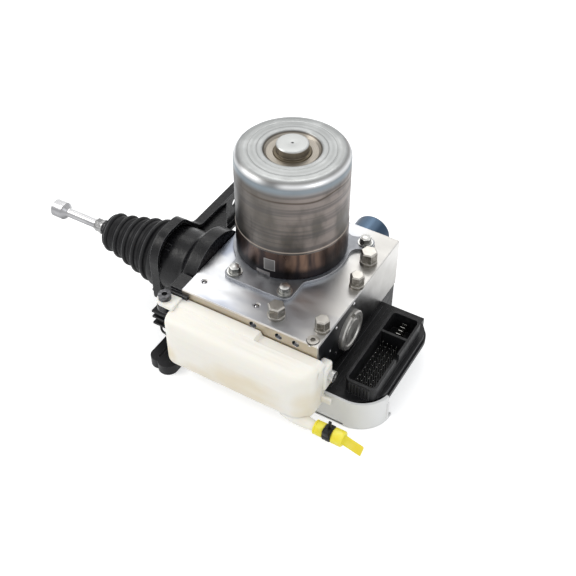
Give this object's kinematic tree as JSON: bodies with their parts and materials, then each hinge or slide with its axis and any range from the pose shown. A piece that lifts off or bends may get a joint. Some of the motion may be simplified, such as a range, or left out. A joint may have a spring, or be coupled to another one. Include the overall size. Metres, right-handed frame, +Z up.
{
  "type": "brake control module",
  "caption": "Electro-hydraulic brake control module with pedal rod, boot, pump motor, valve block, fluid tank and electronics.",
  "frame": {"origin": "on the resting face under the electronics cover, straight below the motor's axis", "axes": "+X runs along the pedal rod away from the pedal, +Y points away from the reservoir, +Z is up along the motor's axis"},
  "size_m": [0.3443, 0.1934, 0.1777],
  "materials": {
    "machined_aluminium": "machined, slightly glossy",
    "piston_aluminium": "satin",
    "bright_steel": "zinc plated",
    "nickel_steel": "nickel grey, satin",
    "spring_steel": "satin",
    "motor_steel": "satin, fine turning marks",
    "dark_steel": "dark coated",
    "plated_rod": "plated, glossy",
    "black_painted_metal": "black gloss paint",
    "boot_rubber": "satin",
    "black_rubber": "matte",
    "blue_anodised": "satin anodised",
    "copper_winding": "lacquered copper wire",
    "milky_plastic": "milky, slightly stained",
    "yellow_plastic": "soft, slightly see-through",
    "black_plastic": "satin",
    "pale_grey_plastic": "matte",
    "board_green": "coated board",
    "tinned_pins": "tinned",
    "lead_sheath": "satin"
  },
  "bodies": {
    "root": {"hydraulic_block": "machined_aluminium", "solenoid_valves": "bright_steel", "solenoid_coils": "copper_winding", "large_port_plugs": "nickel_steel", "small_port_plugs": "nickel_steel", "ball_plugs": "bright_steel", "socket_plugs": "nickel_steel", "cylinder_end_plug": "machined_aluminium", "primary_spring": "spring_steel", "secondary_spring": "spring_steel", "piston_seals": "black_rubber", "pump_seals": "black_rubber", "boot": "boot_rubber", "mounting_bracket": "black_painted_metal", "bracket_screws": "nickel_steel", "motor_flange": "dark_steel", "motor_bolts": "bright_steel", "motor_base_ring": "motor_steel", "motor_can": "motor_steel", "upper_bearing": "bright_steel", "lower_bearing": "bright_steel", "stator": "dark_steel", "stator_windings": "copper_winding", "simulator_cap": "blue_anodised", "simulator_spring": "spring_steel", "reservoir": "milky_plastic", "feed_grommets": "black_rubber", "reservoir_screws": "nickel_steel", "spout_cap": "yellow_plastic", "cable_tie": "black_plastic", "electronics_housing": "black_plastic", "housing_screws": "nickel_steel", "housing_gasket": "black_rubber", "circuit_board": "board_green", "connector_pins": "tinned_pins", "electronics_cover": "pale_grey_plastic", "travel_sensor": "black_plastic", "sensor_lead": "lead_sheath", "lead_connector": "black_plastic"},
    "primary": {"primary_piston": "piston_aluminium"},
    "rod": {"pedal_rod": "plated_rod", "adjuster_nut": "nickel_steel", "rod_washer": "nickel_steel"},
    "secondary": {"secondary_piston": "piston_aluminium"},
    "rotor_body": {"rotor": "bright_steel", "rotor_magnets": "dark_steel", "ball_nut": "bright_steel"},
    "drive": {"drive_screw": "bright_steel", "drive_piston": "piston_aluminium"},
    "simulator": {"simulator_piston": "piston_aluminium"}
  },
  "joints": [
    {"name": "pedal_slide", "type": "slide", "parent": "root", "child": "primary", "axis": [1, 0, 0], "range_m": [0, 0.034], "stiffness_N_per_m": 1500, "springref_m": -0.02, "deforming": ["boot", "primary_spring"]},
    {"name": "rod_swivel", "type": "hinge", "parent": "primary", "child": "rod", "pos_m": [-0.043, -0.038, 0.0514], "axis": [0, 1, 0], "range_deg": [-3, 3], "stiffness_Nm_per_rad": 6},
    {"name": "second_slide", "type": "slide", "parent": "root", "child": "secondary", "axis": [1, 0, 0], "range_m": [0, 0.017], "deforming": ["secondary_spring"]},
    {"name": "rotor_spin", "type": "hinge", "parent": "root", "child": "rotor_body", "pos_m": [0, 0, 0.1], "axis": [0, 0, 1], "range_deg": [0, 1008]},
    {"name": "drive_slide", "type": "slide", "parent": "root", "child": "drive", "axis": [0, 0, -1], "range_m": [0, 0.028]},
    {"name": "simulator_slide", "type": "slide", "parent": "root", "child": "simulator", "axis": [0, 1, 0], "range_m": [0, 0.012], "deforming": ["simulator_spring"]}
  ],
  "couplings": [
    {"joint": "second_slide", "follows": "pedal_slide", "ratio": 0.5},
    {"joint": "simulator_slide", "follows": "pedal_slide", "ratio": 0.35},
    {"joint": "drive_slide", "follows": "rotor_spin", "m_per_rad": 0.0015915}
  ]
}
